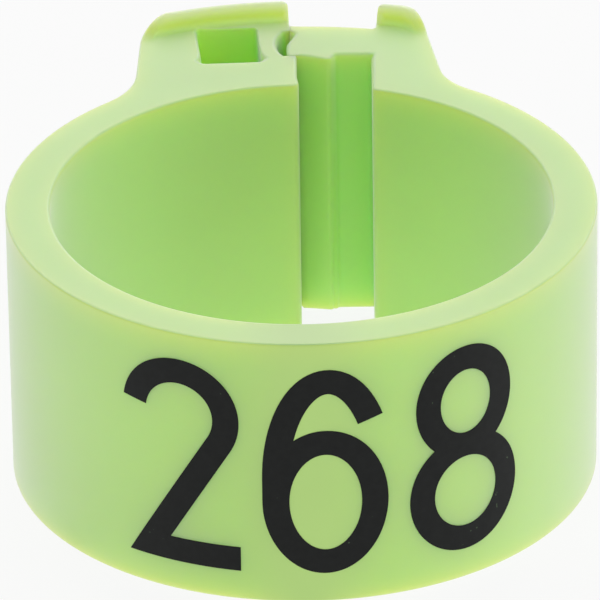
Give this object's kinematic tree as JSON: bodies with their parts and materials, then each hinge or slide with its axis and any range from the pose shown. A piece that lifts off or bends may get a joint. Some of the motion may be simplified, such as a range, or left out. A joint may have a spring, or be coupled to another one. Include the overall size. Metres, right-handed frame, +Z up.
{
  "type": "leg band",
  "caption": "Split plastic leg band for poultry that flexes open and clips shut with a catch and tongue, with a printed number on its front.",
  "frame": {"origin": "on the lower face's plane, below the centre of the bounding box; the bore's axis is at x 0, y -0.001005", "axes": "+Z up along the bore, +Y from the printed front to the clasp, +X to the tongue's side"},
  "size_m": [0.0106, 0.0127, 0.0055],
  "materials": {
    "band_plastic": "satin moulded plastic, pale green",
    "number_ink": "black printed ink"
  },
  "bodies": {
    "printed_front": {"front_band": "band_plastic", "catch_side_flexure": "band_plastic", "tongue_side_flexure": "band_plastic", "number_first_digit": "number_ink", "number_middle_digit": "number_ink", "number_last_digit": "number_ink"},
    "catch_side": {"catch_arm": "band_plastic", "catch_block": "band_plastic", "catch_web": "band_plastic", "catch_grip_ridge": "band_plastic"},
    "tongue_side": {"tongue_arm": "band_plastic", "tongue_block": "band_plastic", "tongue_grip_ridge": "band_plastic", "tongue_strap": "band_plastic", "latch_tooth": "band_plastic"}
  },
  "joints": [
    {"name": "catch_arm_flex", "type": "hinge", "parent": "printed_front", "child": "catch_side", "pos_m": [-0.00444, -0.00308, 0.0026], "axis": [0, 0, 1], "range_deg": [0, 22], "stiffness_Nm_per_rad": 0.024, "deforming": ["catch_side_flexure"]},
    {"name": "tongue_arm_flex", "type": "hinge", "parent": "printed_front", "child": "tongue_side", "pos_m": [0.00444, -0.00308, 0.0026], "axis": [0, 0, -1], "range_deg": [0, 22], "stiffness_Nm_per_rad": 0.024, "deforming": ["tongue_side_flexure"]}
  ],
  "couplings": [
    {"joint": "tongue_arm_flex", "follows": "catch_arm_flex", "ratio": 1}
  ]
}
